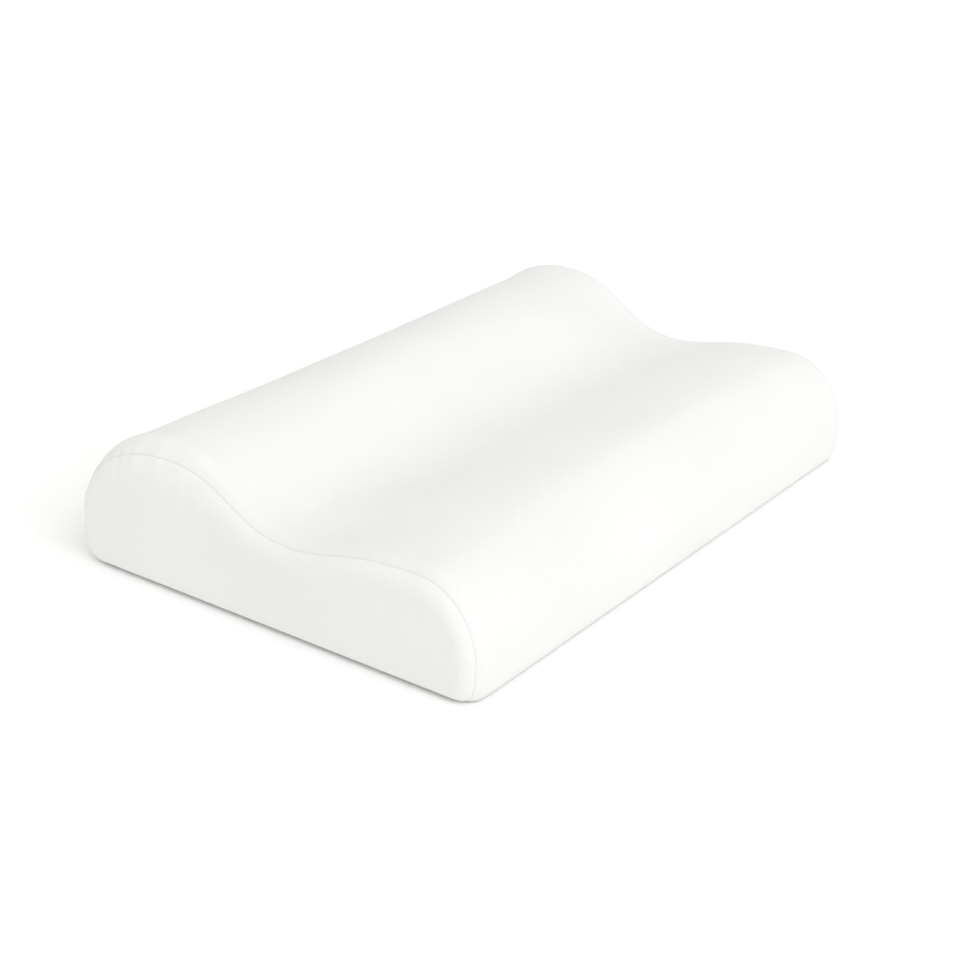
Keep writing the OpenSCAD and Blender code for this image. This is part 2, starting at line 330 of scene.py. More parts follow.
def enamel_material():
    """White-grey enamel on die-cast zinc, thin and greyer where it is rubbed."""
    s = Shader("zip_metal")
    place = s.coordinates()
    edge = s.add("ShaderNodeAttribute", attribute_name="worn").outputs["Fac"]
    rubbed = s.maths("MULTIPLY", edge, s.ramp(s.noise(place, 700.0), 0.1, 0.8, 0.4, 0.6))
    cloudy = s.mix(s.noise(place, 250.0), (0.69, 0.70, 0.71), (0.71, 0.72, 0.73))
    s.link(s.mix(rubbed, cloudy, (0.45, 0.45, 0.46)), s.bsdf.inputs["Base Color"])
    s.link(s.ramp(s.noise(place, 900.0), 0.28, 0.34), s.bsdf.inputs["Roughness"])
    s.link(s.ramp(rubbed, 0.25, 0.85), s.bsdf.inputs["Metallic"])
    s.bump(s.noise(place, 2600.0), 0.12, 0.03 * MM)
    s.set(Coat_Weight=0.3, Coat_Roughness=0.15)
    return s.material


def satin_material():
    s = Shader("label_satin")
    place = s.coordinates()
    split = s.add("ShaderNodeSeparateXYZ")
    s.link(place, split.inputs[0])
    floats = s.maths("SINE", s.maths("MULTIPLY", split.outputs["X"], 2 * math.pi / (0.35 * MM)), 0.0)
    rows = s.maths("SINE", s.maths("MULTIPLY", split.outputs["Z"], 2 * math.pi / (0.9 * MM)), 0.0)
    s.bump(s.maths("ADD", floats, s.maths("MULTIPLY", rows, 0.6)), 0.4, 0.05 * MM)
    s.link(s.mix(s.noise(place, 60.0), (0.88, 0.88, 0.86), (0.93, 0.93, 0.92)), s.bsdf.inputs["Base Color"])
    s.link(s.ramp(rows, 0.30, 0.42, -1.0, 1.0), s.bsdf.inputs["Roughness"])
    s.set(Sheen_Weight=0.3, Anisotropic=0.4)
    return s.material


def thread_material():
    s = Shader("sewing_thread")
    place = s.coordinates()
    twist = s.add("ShaderNodeTexWave", Scale=900.0, Distortion=1.0, bands_direction="DIAGONAL")
    s.link(place, twist.inputs["Vector"])
    s.bump(twist.outputs["Fac"], 0.6, 0.05 * MM)
    # Painted shade: the grooves of the twist are darker than its ridges.
    s.link(s.mix(twist.outputs["Fac"], (0.80, 0.80, 0.79), (0.90, 0.90, 0.89)), s.bsdf.inputs["Base Color"])
    s.set(Roughness=0.6, Sheen_Weight=0.2)
    return s.material


# ---- Section and rings ----

def bezier(points, t):
    a, b, c, d = (np.array(p) for p in points)
    t = t[:, None]
    s = 1 - t
    return s ** 3 * a + 3 * s * s * t * b + 3 * s * t * t * c + t ** 3 * d


def straight(a, d):
    a, d = np.array(a), np.array(d)
    return [a, a + (d - a) / 3, a + (d - a) * 2 / 3, d]


def stretches(layer, share, limit_y):
    """Controls of the section's nine stretches, from the zip line over the lobes and back to it.
    layer is how deep the layer lies, and share how far the section has drawn in at an end."""
    def drawn(draw):
        return layer + (draw - layer) * share
    back = min(limit_y, BACK_Y - drawn(BACK_DRAW))
    front = drawn(FRONT_DRAW) - BACK_Y
    base = drawn(BASE_DRAW)
    high = HIGH_LOBE - drawn(HIGH_DRAW)
    valley = VALLEY - drawn(VALLEY_DRAW)
    low = LOW_LOBE - drawn(LOW_DRAW)
    return [
        straight([back, ZIP_Z], [back, BACK_SHOULDER]),
        [[back, BACK_SHOULDER], [back, BACK_SHOULDER + 0.5 * (high - BACK_SHOULDER)],
         [CREST_Y + 0.56 * (back - CREST_Y), high], [CREST_Y, high]],
        [[CREST_Y, high], [CREST_Y - 0.47 * (CREST_Y - DIP_Y), high],
         [DIP_Y + 0.46 * (CREST_Y - DIP_Y), valley], [DIP_Y, valley]],
        [[DIP_Y, valley], [DIP_Y - 0.34 * (DIP_Y - BROW_Y), valley],
         [BROW_Y + 0.61 * (DIP_Y - BROW_Y), low], [BROW_Y, low]],
        [[BROW_Y, low], [BROW_Y + 0.55 * (front - BROW_Y), low],
         [front, FRONT_SHOULDER + 0.55 * (low - FRONT_SHOULDER)], [front, FRONT_SHOULDER]],
        [[front, FRONT_SHOULDER], [front, base + 2 * FRONT_CORNER],
         [front, base + 0.45 * FRONT_CORNER], [front + FRONT_CORNER, base]],
        straight([front + FRONT_CORNER, base], [back - BACK_CORNER, base]),
        [[back - BACK_CORNER, base], [back - 0.45 * BACK_CORNER, base],
         [back, base + 0.45 * BACK_CORNER], [back, base + BACK_CORNER]],
        straight([back, base + BACK_CORNER], [back, ZIP_Z])]


def graded(start, end, fine_start, fine_end, step):
    """Places from start to end, without the end: fine at the ends that ask for it, step in between."""
    s = np.linspace(start, end, 2000)
    spacing = np.minimum(step, np.minimum(fine_start + 0.25 * (s - start), fine_end + 0.25 * (end - s)))
    count = np.concatenate([[0], np.cumsum(np.diff(s) / spacing[1:])])
    total = max(2, math.ceil(count[-1]))
    return np.interp(np.linspace(0, count[-1], total, endpoint=False), count, s)


class Section:
    """Sample points on the section, the same on every ring: which stretch, and where on it."""

    def __init__(self, step, zip_step, seam_step):
        self.samples = []
        self.length = []
        travelled = 0.0
        slot_up = SLOT_HALF / (BACK_SHOULDER - ZIP_Z)
        slot_down = 1 - SLOT_HALF / (ZIP_Z - BACK_CORNER)
        steps = [(zip_step, zip_step), (zip_step, step), (step, step), (step, step),
                 (step, 1.5 * seam_step), (1.5 * seam_step, seam_step), (seam_step, 3 * step),
                 (3 * step, zip_step), (zip_step, zip_step)]
        for index, (controls, (first, last)) in enumerate(zip(stretches(0, 0, 1), steps)):
            t = np.linspace(0, 1, 400)
            gaps = np.linalg.norm(np.diff(bezier(controls, t), axis=0), axis=1)
            arc = np.concatenate([[0], np.cumsum(gaps)])
            biggest = 3 * step if index == 6 else step
            breaks = {0: [0, slot_up, 1], 8: [0, slot_down, 1]}.get(index, [0, 1])
            for a, b in zip(breaks[:-1], breaks[1:]):
                places = graded(a * arc[-1], b * arc[-1], first, last, biggest)
                self.samples.append((index, np.interp(places, arc, t)))
                self.length.append(travelled + places)
            travelled += arc[-1]
        self.sizes = [len(t) for _, t in self.samples]
        self.length = np.concatenate(self.length)
        self.perimeter = travelled
        self.size = sum(self.sizes)
        starts = np.concatenate([[0], np.cumsum(self.sizes)])
        self.slot_top = int(starts[1])        # 6 mm above the zip line
        self.front_seam = int(starts[7])      # where the base starts
        self.slot_bottom = int(starts[10])    # 6 mm below the zip line

    def outline(self, layer, share, limit_y):
        controls = stretches(layer, share, limit_y)
        return np.concatenate([bezier(controls[index], t) for index, t in self.samples])


def end_angles(fine, step):
    """Angles of the end rounding from the rim to the seam, and from the seam to the straight part."""
    quarter = END_ROUND * SEAM_ANGLE
    to_seam = math.pi / 2 - graded(0, quarter, step, fine, step) / END_ROUND
    from_seam = SEAM_ANGLE - graded(0, quarter, fine, step, step) / END_ROUND
    return to_seam, from_seam


class Body:
    """The closed grid of rings of one layer, from the left hub to the right hub."""

    def __init__(self, section, layer, limit_y, step, fine, breaks=()):
        self.section = section
        to_seam, from_seam = end_angles(fine, step)
        straight_end = HALF_LENGTH - END_ROUND
        marks = [-straight_end, *sorted(breaks), straight_end]
        middle = np.concatenate([graded(a, b, step if a == -straight_end else fine,
                                        step if b == straight_end else fine, step)
                                 for a, b in zip(marks[:-1], marks[1:])])
        hub_rings = np.linspace(0.06, 1, 20, endpoint=False)
        plan = [("hub", s) for s in hub_rings] + [("round", a) for a in (*to_seam, *from_seam)]
        self.rings = []
        for kind, value in plan:
            self.rings.append(self.ring(layer, limit_y, kind, value, -1))
        self.left_seam = len(hub_rings) + len(to_seam)
        for x in middle:
            self.rings.append(self.ring(layer, limit_y, "straight", x, 1))
        self.rings.append(self.ring(layer, limit_y, "straight", straight_end, 1))
        for kind, value in reversed(plan):
            self.rings.append(self.ring(layer, limit_y, kind, value, 1))
        self.points = np.array(self.rings)
        self.count = len(self.rings)
        self.right_seam = self.count - 1 - self.left_seam
        self.hubs = np.array([[side * (HALF_LENGTH - layer), *HUB] for side in (-1, 1)])
        middle_line = self.points[:, section.size // 4]
        self.along = np.concatenate([[0], np.cumsum(np.linalg.norm(np.diff(middle_line, axis=0), axis=1))])

    def ring(self, layer, limit_y, kind, value, side):
        radius = END_ROUND - layer
        if kind == "hub":
            rim = self.section.outline(layer, 1, limit_y)
            x = side * (HALF_LENGTH - layer)
            return np.column_stack([np.full(len(rim), x), HUB + (rim - HUB) * value])
        if kind == "round":
            outline = self.section.outline(layer, 1 - math.cos(value), limit_y)
            x = side * (HALF_LENGTH - END_ROUND + radius * math.sin(value))
            return np.column_stack([np.full(len(outline), x), outline])
        outline = self.section.outline(layer, 0, limit_y)
        return np.column_stack([np.full(len(outline), value), outline])

    def normals(self):
        """Outward normals of the grid, by the differences between neighbours."""
        p = self.points
        padded = np.concatenate([np.broadcast_to(self.hubs[0], p[:1].shape), p,
                                 np.broadcast_to(self.hubs[1], p[:1].shape)])
        du = padded[2:] - padded[:-2]
        dv = np.roll(p, -1, 1) - np.roll(p, 1, 1)
        n = np.cross(dv, du)
        return n / np.maximum(np.linalg.norm(n, axis=2, keepdims=True), 1e-12)


# ---- Meshes from grids ----

def mesh_object(name, points, faces, material):
    mesh = bpy.data.meshes.new(name)
    mesh.from_pydata(np.asarray(points).tolist(), [], faces)
    mesh.validate()
    mesh.shade_smooth()
    if material:
        mesh.materials.append(material)
    piece = bpy.data.objects.new(name, mesh)
    bpy.context.scene.collection.objects.link(piece)
    return piece


def store(piece, name, kind, values):
    """Keeps a value for each vertex, which the material reads by this name."""
    attribute = piece.data.attributes.new(name, kind, "POINT")
    key = "vector" if kind == "FLOAT_VECTOR" else "value"
    attribute.data.foreach_set(key, np.asarray(values, np.float32).ravel())


def grid_quads(rings, size, kept=None):
    """Quads of a grid that closes round its rings, as rows of vertex numbers that turn outwards."""
    r, j = np.meshgrid(np.arange(rings - 1), np.arange(size), indexing="ij")
    k = (j + 1) % size
    quads = np.stack([r * size + j, r * size + k, (r + 1) * size + k, (r + 1) * size + j], axis=2)
    return quads.reshape(-1, 4) if kept is None else quads[kept]


def hub_fan(ring_start, size, hub, turned):
    j = np.arange(size)
    k = (j + 1) % size
    first, second = (k, j) if turned else (j, k)
    return np.column_stack([np.full(size, hub), ring_start + first, ring_start + second])


def border(faces):
    """Directed edges that only one face uses."""
    edges = {(f[i], f[(i + 1) % len(f)]) for f in faces for i in range(len(f))}
    return [(a, b) for a, b in edges if (b, a) not in edges]


def shell(name, outer, inner, faces, material):
    """Cloth with a real thickness: an outer and an inner skin with the same faces, joined at the edges."""
    used = np.unique(np.concatenate([np.ravel(f) for f in faces]))
    number = np.full(len(outer), -1)
    number[used] = np.arange(len(used))
    outside = [number[f].tolist() for group in faces for f in group]
    count = len(used)
    inside = [[v + count for v in reversed(f)] for f in outside]
    rim = [[b, a, a + count, b + count] for a, b in border(outside)]
    piece = mesh_object(name, np.concatenate([outer[used], inner[used]]), outside + inside + rim, material)
    return piece, used


# ---- Cloth crown ----

def spline_weights(fine, coarse, period=None):
    """Matrix that turns values at coarse places into a smooth curve's values at fine places."""
    count = len(coarse)
    if period:
        index = np.interp(fine, np.append(coarse, period), np.arange(count + 1))
    else:
        index = np.interp(fine, coarse, np.arange(count))
    base = np.floor(index).astype(int)
    t = index - base
    weights = [(1 - t) ** 3 / 6, (3 * t ** 3 - 6 * t ** 2 + 4) / 6,
               (-3 * t ** 3 + 3 * t ** 2 + 3 * t + 1) / 6, t ** 3 / 6]
    matrix = np.zeros((len(fine), count))
    for offset, w in zip((-1, 0, 1, 2), weights):
        column = (base + offset) % count if period else np.clip(base + offset, 0, count - 1)
        np.add.at(matrix, (np.arange(len(fine)), column), w)
    return matrix


def near(distance, reach):
    """1 at a seam, falling smoothly to nearly 0 at twice this reach."""
    return np.exp(-(distance / reach) ** 2)


def falling(value):
    """Smooth step from 1 down to 0 where the value passes 0."""
    return 1 / (1 + np.exp(np.minimum(value, 60)))


class Crown:
    """How a cover that swells against its seams moves, from a cloth simulation on a coarse copy."""

    def __init__(self):
        section = Section(14 * MM, 9 * MM, 9 * MM)
        self.coarse = Body(section, START_LAYER, 1, 14 * MM, 9 * MM)
        self.moved = np.zeros_like(self.coarse.points)
        self.simulate()

    def simulate(self):
        grid = self.coarse
        faces = [*grid_quads(grid.count, grid.section.size).tolist()]
        hub = grid.points.size // 3
        faces += hub_fan(0, grid.section.size, hub, True).tolist()
        faces += hub_fan(hub - grid.section.size, grid.section.size, hub + 1, False).tolist()
        cover = mesh_object("crown", np.concatenate([grid.points.reshape(-1, 3), grid.hubs]), faces, None)
        remesh = cover.modifiers.new("remesh", "REMESH")
        remesh.mode = "VOXEL"
        remesh.voxel_size = VOXEL
        start = self.applied(cover)
        cover.vertex_groups.new(name="held")
        held = self.held(start)
        for number, weight in enumerate(held):
            if weight > 0.02:
                cover.vertex_groups["held"].add([number], float(weight), "REPLACE")
        cloth = cover.modifiers.new("cloth", "CLOTH")
        cloth.settings.quality = 5
        cloth.settings.mass = 0.3
        cloth.settings.tension_stiffness = 15
        cloth.settings.compression_stiffness = 15
        cloth.settings.shear_stiffness = 5
        cloth.settings.bending_stiffness = 0.5
        cloth.settings.use_pressure = True
        cloth.settings.uniform_pressure_force = CLOTH_PRESSURE
        cloth.settings.vertex_group_mass = "held"
        cloth.settings.effector_weights.gravity = 0
        cloth.collision_settings.use_collision = False
        for number in range(1, CLOTH_FRAMES + 1):
            bpy.context.scene.frame_set(number)
        settled = self.applied(cover)
        bpy.context.scene.frame_set(1)
        bpy.data.objects.remove(cover)
        self.spread(start, settled - start)

    @staticmethod
    def applied(cover):
        """Applies the modifiers and returns the points."""
        mesh = bpy.data.meshes.new_from_object(cover.evaluated_get(bpy.context.evaluated_depsgraph_get()))
        cover.modifiers.clear()
        cover.data = mesh
        points = np.zeros(len(mesh.vertices) * 3)
        mesh.vertices.foreach_get("co", points)
        return points.reshape(-1, 3)

    @staticmethod
    def held(points):
        """How firmly the seams and the surface under the pillow hold each point."""
        end_seam = HALF_LENGTH - END_ROUND + END_ROUND * math.sin(SEAM_ANGLE)
        ends = near(np.abs(points[:, 0]) - end_seam, 7 * MM)
        base = falling((points[:, 2] - 12 * MM) / (2 * MM))
        zip_line = near(points[:, 2] - ZIP_Z, 8 * MM) * (points[:, 1] > BACK_Y - 20 * MM)
        return np.clip(np.maximum.reduce([ends, base, zip_line]), 0, 1)

    def spread(self, places, moves):
        """Carries the moves over to the coarse grid, capped, and less the swelling that all of it has."""
        length = np.linalg.norm(moves, axis=1)
        print("crown moves", round(float(length.max()) / MM, 1), "mm at most,",
              round(float(length.mean()) / MM, 1), "mm on average")
        moves = moves * np.minimum(1, CROWN_CAP / np.maximum(length, 1e-9))[:, None]
        tree = KDTree(len(places))
        for number, place in enumerate(places):
            tree.insert(place, number)
        tree.balance()
        flat = self.coarse.points.reshape(-1, 3)
        moved = np.zeros_like(flat)
        for number, place in enumerate(flat):
            found = tree.find_n(place, 10)
            weights = np.array([1 / (distance + 2 * MM) for _, _, distance in found])
            moved[number] = weights @ moves[[index for _, index, _ in found]] / weights.sum()
        moved = moved.reshape(self.coarse.points.shape)
        outward = self.coarse.normals()
        swell = (moved * outward).sum(2, keepdims=True)
        weight = 1 - self.held(flat).reshape(swell.shape)
        self.moved = moved - outward * weight * SWELLING_REMOVED * (swell * weight).sum() / weight.sum()

    def on(self, body):
        """The move of each point of a finer grid."""
        across = spline_weights(body.section.length, self.coarse.section.length, body.section.perimeter)
        along = spline_weights(body.along / body.along[-1], self.coarse.along / self.coarse.along[-1])
        return np.einsum("ri,ijk,cj->rck", along, self.moved, across, optimize=True)


# ---- Seams and creases ----

def waves(place, shortest, longest, seed):
    """Uneven ripples from about -1 to 1, with wavelengths in this range."""
    rng = np.random.default_rng(seed)
    lengths = np.geomspace(shortest, longest, 6)
    total = sum(np.sin(2 * math.pi * (place / length + rng.random())) for length in lengths)
    return total / 2.4


class Places:
    """Where each point of a grid lies on the cloth."""

    def __init__(self, body):
        points = body.points
        steps = np.linalg.norm(np.diff(points, axis=0), axis=2)
        self.along = np.concatenate([np.zeros((1, points.shape[1])), np.cumsum(steps, axis=0)])
        steps = np.linalg.norm(np.roll(points, -1, 1) - points, axis=2)
        self.girth = steps.sum(1, keepdims=True)
        self.around = np.cumsum(steps, axis=1) - steps
        self.girthwise = np.broadcast_to(body.section.length, self.around.shape)
        self.left = self.along - self.along[body.left_seam]
        self.right = self.along[body.right_seam] - self.along
        self.front = self.around - self.around[:, [body.section.front_seam]]
        self.from_zip = np.minimum(self.around, self.girth - self.around)
        self.x = points[:, :, 0]
        self.y = points[:, :, 1]
        self.z = points[:, :, 2]
        self.on_wrap = (self.left >= 0) & (self.right >= 0)


def seam_relief(places):
    """Depth of the stitched seams and the gathers beside them, along the outward normal."""
    relief = np.zeros_like(places.x)
    for number, side in enumerate((places.left, places.right)):
        distance = np.abs(side)
        gathers = waves(places.girthwise, 13 * MM, 34 * MM, 11 + number)
        corner = near(places.girthwise - CORNER_PLACE, 70 * MM)
        reach = (7 + 9 * corner) * MM
        relief -= 0.26 * MM * near(distance, 0.8 * MM) + 0.3 * MM * near(distance, 6 * MM)
        relief += (0.12 + 0.30 * corner) * MM * gathers * np.exp(-distance / reach)
        relief += 3.2 * MM * near(places.girthwise - CORNER_PLACE, 42 * MM) * near(distance, 26 * MM)
    distance = np.abs(places.front)
    gathers = waves(places.x, 13 * MM, 40 * MM, 21)
    relief -= places.on_wrap * (0.45 * MM * near(distance, 0.9 * MM) + 0.2 * MM * near(distance, 5 * MM))
    relief += 0.15 * MM * gathers * np.exp(-distance / (7 * MM)) * places.on_wrap * (places.front < 0)
    return relief * np.clip(places.z / (2 * MM), 0, 1)


def zip_relief(places):
    """The hems beside the zip and the closing seams beyond its ends."""
    past = np.abs(places.x) - SLOT_END
    beyond = np.clip(past / (5 * MM), 0, 1)
    hem = falling((places.from_zip - SLOT_HALF - 7.5 * MM) / (0.35 * MM))
    edge = np.abs(places.from_zip - SLOT_HALF)
    stitch = near(edge - STITCH_INSET, 0.7 * MM)
    relief = (1 - beyond) * (0.45 * MM * hem - 0.28 * MM * stitch - 0.5 * MM * near(edge, 0.8 * MM))
    ripples = waves(places.x, 12 * MM, 30 * MM, 31)
    relief += (1 - beyond) * 0.10 * MM * ripples * near(places.from_zip, 20 * MM)
    closing = 0.6 * MM * near(places.from_zip, 1.1 * MM) + 0.3 * MM * near(places.from_zip, 6 * MM)
    return (relief - closing * (past > 0)) * places.on_wrap


def crease_relief(places):
    """Slack in the cloth: long low folds over the lobes and the valley, and a few drag lines."""
    slack = waves(places.x + 0.6 * places.y, 140 * MM, 400 * MM, 41)
    slack = slack + waves(places.y - 0.5 * places.x, 120 * MM, 360 * MM, 42)
    upper = np.clip((places.z - 15 * MM) / (25 * MM), 0, 1)
    relief = 0.16 * MM * slack * upper
    rng = np.random.default_rng(43)
    for side in (-1, 1):
        for turn in rng.uniform(-75, -5, 6):
            lead = side * math.sin(math.radians(turn)), math.cos(math.radians(turn))
            x = side * HALF_LENGTH - places.x
            y = places.y - rng.uniform(60, 130) * MM
            forward = side * x * abs(lead[0]) - y * lead[1] * 0.8
            sideways = side * x * lead[1] + y * abs(lead[0])
            length = rng.uniform(50, 110) * MM
            fold = near(sideways, rng.uniform(4, 7) * MM) * near(forward - 0.4 * length, length)
            relief += rng.uniform(0.08, 0.2) * MM * fold * upper
    return relief


# ---- Cover, liner and core ----

class Layer:
    """One layer of the pillow, crowned: an outer and an inner skin on the same grid."""

    def __init__(self, crown, depth, limit_y, thickness, steps, relief=False, breaks=()):
        section = Section(*steps)
        self.body = Body(section, depth, limit_y, steps[0], steps[2], breaks)
        normals = self.body.normals()
        self.places = Places(self.body)
        moved = self.body.points + crown.on(self.body)
        moved[:, :, 2] = np.maximum(moved[:, :, 2], depth)
        inner = moved - normals * thickness
        lift = np.zeros_like(self.places.x)
        if relief:
            lift = seam_relief(self.places) + zip_relief(self.places) + crease_relief(self.places)
        outer = moved + normals * lift[:, :, None]
        outer[:, :, 2] = np.maximum(outer[:, :, 2], depth)
        self.outer = self.with_hubs(outer)
        self.inner = self.with_hubs(inner)
        self.lift = lift

    @staticmethod
    def with_hubs(points):
        """The grid's points, and after them the middle of each end face."""
        hubs = [[points[ring, :, 0].mean(), *HUB] for ring in (0, -1)]
        return np.concatenate([points.reshape(-1, 3), hubs])

    def strip(self, first, last, ring_first, ring_last, slot=False):
        """Quads between two rings and two places on the section."""
        body, size = self.body, self.body.section.size
        kept = np.zeros((body.count - 1, size), bool)
        kept[ring_first:ring_last, first:last] = True
        if slot:
            middle = (np.abs(self.places.x[1:, 0] + self.places.x[:-1, 0]) / 2) < SLOT_END
            kept[middle, :body.section.slot_top] = False
            kept[middle, body.section.slot_bottom:] = False
        return grid_quads(body.count, size, kept)

    def end_faces(self, side):
        body, size = self.body, self.body.section.size
        total = body.count * size
        if side < 0:
            return [self.strip(0, size, 0, body.left_seam), hub_fan(0, size, total, True)]
        return [self.strip(0, size, body.right_seam, body.count - 1),
                hub_fan(total - size, size, total + 1, False)]

    def cloth_coordinates(self, end):
        """Where the points lie on the flat cloth: along X and round it, or across an end panel."""
        if end:
            x, y, z = self.outer.T
            return np.column_stack([y, z + np.abs(x), x * 0])
        places = self.places
        middle = places.along[:, [self.body.section.size // 4]]
        flat = np.stack([np.broadcast_to(middle, places.around.shape), places.around - places.girth / 2,
                         np.zeros_like(places.around)], axis=2).reshape(-1, 3)
        return np.concatenate([flat, np.zeros((2, 3))])

    def piece(self, name, faces, material, end=False):
        piece, used = shell(name, self.outer, self.inner, faces, material)
        cloth = self.cloth_coordinates(end)[used]
        store(piece, "cloth", "FLOAT_VECTOR", np.concatenate([cloth, cloth]))
        # How far the cloth is pressed in, 1 at 1 mm; the knit material paints shade into the grooves by it.
        seam = np.concatenate([np.clip(-self.lift / (1.0 * MM), 0, 1).ravel(), [0, 0]])[used]
        store(piece, "seam", "FLOAT", np.concatenate([seam, seam * 0]))
        return piece


def finish_piece(piece, body, slot, *replaced):
    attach(piece, body)
    if replaced:
        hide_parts(*replaced)
    return piece


def add_panels(layer, names, material, slot):
    """The wrap panels and the end panels of one layer."""
    body, size = layer.body, layer.body.section.size
    seam = body.section.front_seam
    along = layer.places.along[:, size // 4]
    length = float(along[body.right_seam] - along[body.left_seam])
    middle = body.count // 2
    girth = float(layer.places.girth[middle, 0])
    top = float(layer.places.around[middle, seam])
    if "wrap" in names:
        cuts = [("wrap", layer.strip(0, size, body.left_seam, body.right_seam), (girth, length))]
    else:
        cuts = [("top", layer.strip(0, seam, body.left_seam, body.right_seam, True), (top, length)),
                ("base", layer.strip(seam, size, body.left_seam, body.right_seam, True),
                 (girth - top, length))]
    for key, faces, flat in cuts:
        piece = layer.piece(names[key] + "_cloth", [faces], material)
        finish_piece(piece, "pillow", slot, names[key])
    for key, side in (("left", -1), ("right", 1)):
        faces = layer.end_faces(side)
        piece = layer.piece(names[key] + "_cloth", faces, material, True)
        finish_piece(piece, "pillow", slot, names[key])
        flat = (2 * BACK_Y, HIGH_LOBE)


def add_core(crown, material):
    steps = (6 * MM, 5 * MM, 4 * MM)
    layer = Layer(crown, 3.2 * MM, LINER_BACK_Y - 1.2 * MM, 0.0, steps)
    size, total = layer.body.section.size, layer.body.points.size // 3
    faces = [grid_quads(layer.body.count, size), hub_fan(0, size, total, True),
             hub_fan(total - size, size, total + 1, False)]
    faces = [f.tolist() for group in faces for f in group]
    piece = mesh_object("foam_core_moulded", layer.outer, faces, material)
    finish_piece(piece, "pillow", "memory_foam", "foam_core")


# ---- Zip ----

def slab(name, across, along, front, back, material):
    """Band between two surfaces, given as distances along Y over a grid of X and Z."""
    nx, nz = len(across), len(along)
    x, z = np.meshgrid(across, along, indexing="ij")
    points = np.concatenate([np.stack([x, surface, z], axis=2).reshape(-1, 3) for surface in (front, back)])
    i, j = np.meshgrid(np.arange(nx - 1), np.arange(nz - 1), indexing="ij")
    a = (i * nz + j).ravel()
    quads = np.column_stack([a, a + 1, a + nz + 1, a + nz]).tolist()
    count = nx * nz
    faces = quads + [[v + count for v in reversed(f)] for f in quads]
    faces += [[b, a, a + count, b + count] for a, b in border(quads)]
    return mesh_object(name, points, faces, material)


def tube(name, paths, radius, sides, material):
    """Round tubes along paths, with domed ends, in one piece."""
    points, faces = [], []
    for path in paths:
        path = np.asarray(path)
        tangent = np.gradient(path, axis=0)
        tangent /= np.linalg.norm(tangent, axis=1, keepdims=True)
        reference = np.array([0.0, 1.0, 0.0])
        side = np.cross(tangent, reference)
        weak = np.linalg.norm(side, axis=1) < 0.2
        side[weak] = np.cross(tangent[weak], np.array([1.0, 0.0, 0.0]))
        side /= np.linalg.norm(side, axis=1, keepdims=True)
        up = np.cross(side, tangent)
        angles = np.linspace(0, 2 * math.pi, sides, endpoint=False)
        rings = [(path[0] - tangent[0] * radius * 0.7, 0, 0.55)]
        rings += [(p, n, 1.0) for n, p in enumerate(path)]
        rings += [(path[-1] + tangent[-1] * radius * 0.7, -1, 0.55)]
        start = len(points)
        for centre, n, share in rings:
            for angle in angles:
                offset = side[n] * math.cos(angle) + up[n] * math.sin(angle)
                points.append(centre + offset * radius * share)
        count = len(rings)
        for r in range(count - 1):
            for s in range(sides):
                a, b = start + r * sides + s, start + r * sides + (s + 1) % sides
                faces.append([a, b, b + sides, a + sides])
        faces.append([start + s for s in reversed(range(sides))])
        faces.append([start + (count - 1) * sides + s for s in range(sides)])
    return mesh_object(name, points, faces, material)


def coil_path(side, phase):
    """Monofilament of one coil: loops that run out to the zip line in front and back behind."""
    reach, root = 0.45 * MM, 2.35 * MM
    front = BACK_Y - 0.42 * MM
    back = TAPE_HIGH.y + 0.34 * MM
    loops = int((COIL_HIGH.x - COIL_LOW.x) / COIL_PITCH) - 1
    turns = np.linspace(0, loops, loops * 14 + 1)
    angle = 2 * math.pi * turns
    reaching = 0.5 - 0.5 * np.cos(angle)
    squared = reaching ** 0.8
    z = side * (root - (root + reach) * squared)
    y = (front + back) / 2 + (front - back) / 2 * np.sign(np.sin(angle)) * np.abs(np.sin(angle)) ** 0.5
    x = COIL_LOW.x + 0.5 * MM + phase * COIL_PITCH + turns * COIL_PITCH
    return np.column_stack([x, y, ZIP_Z + z])


def add_tape(side, name, material):
    """Woven tape with a corded edge beside the coil."""
    low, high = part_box(name)
    across = np.arange(low.x, high.x + 0.1 * MM, 0.85 * MM)
    along = np.linspace(low.z, high.z, 25)
    x, z = np.meshgrid(across, along, indexing="ij")
    inner = np.abs(z - ZIP_Z) - 1.9 * MM
    ribs = np.sin(2 * math.pi * (x + np.abs(((z - ZIP_Z) / (1.2 * MM)) % 2 - 1) * 1.2 * MM) / (3.4 * MM))
    front = high.y - 0.08 * MM + 0.04 * MM * ribs + 0.04 * MM * near(inner - 3.2 * MM, 0.4 * MM)
    edge = np.minimum(inner, 12 * MM - inner)
    round_off = 0.2 * MM * near(edge, 0.3 * MM)
    back = low.y + 0.08 * MM + 0.04 * MM * ribs
    piece = slab(name + "_woven", across, along, front - round_off, back + round_off, material)
    finish_piece(piece, "pillow", "zip_tape", name)


